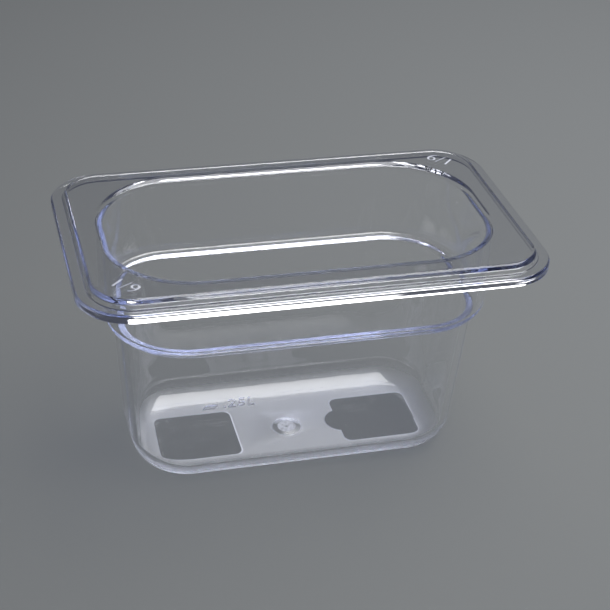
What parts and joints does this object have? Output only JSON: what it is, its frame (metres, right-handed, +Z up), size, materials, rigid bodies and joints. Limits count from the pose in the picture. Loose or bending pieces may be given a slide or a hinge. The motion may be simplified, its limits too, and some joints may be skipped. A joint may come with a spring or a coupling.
{
  "type": "food pan",
  "caption": "Clear moulded food pan of the ninth gastronorm size, with a stepped rim, an inner stacking shelf and a rounded base.",
  "frame": {"origin": "middle of the underside, where the pan stands", "axes": "+X along the long sides, +Y across them, +Z up out of the mouth"},
  "size_m": [0.176, 0.108, 0.0984],
  "materials": {
    "clear_polycarbonate": "clear polished polycarbonate, with a fine frosted texture on the floor"
  },
  "bodies": {
    "root": {"pan": "clear_polycarbonate"}
  },
  "joints": []
}
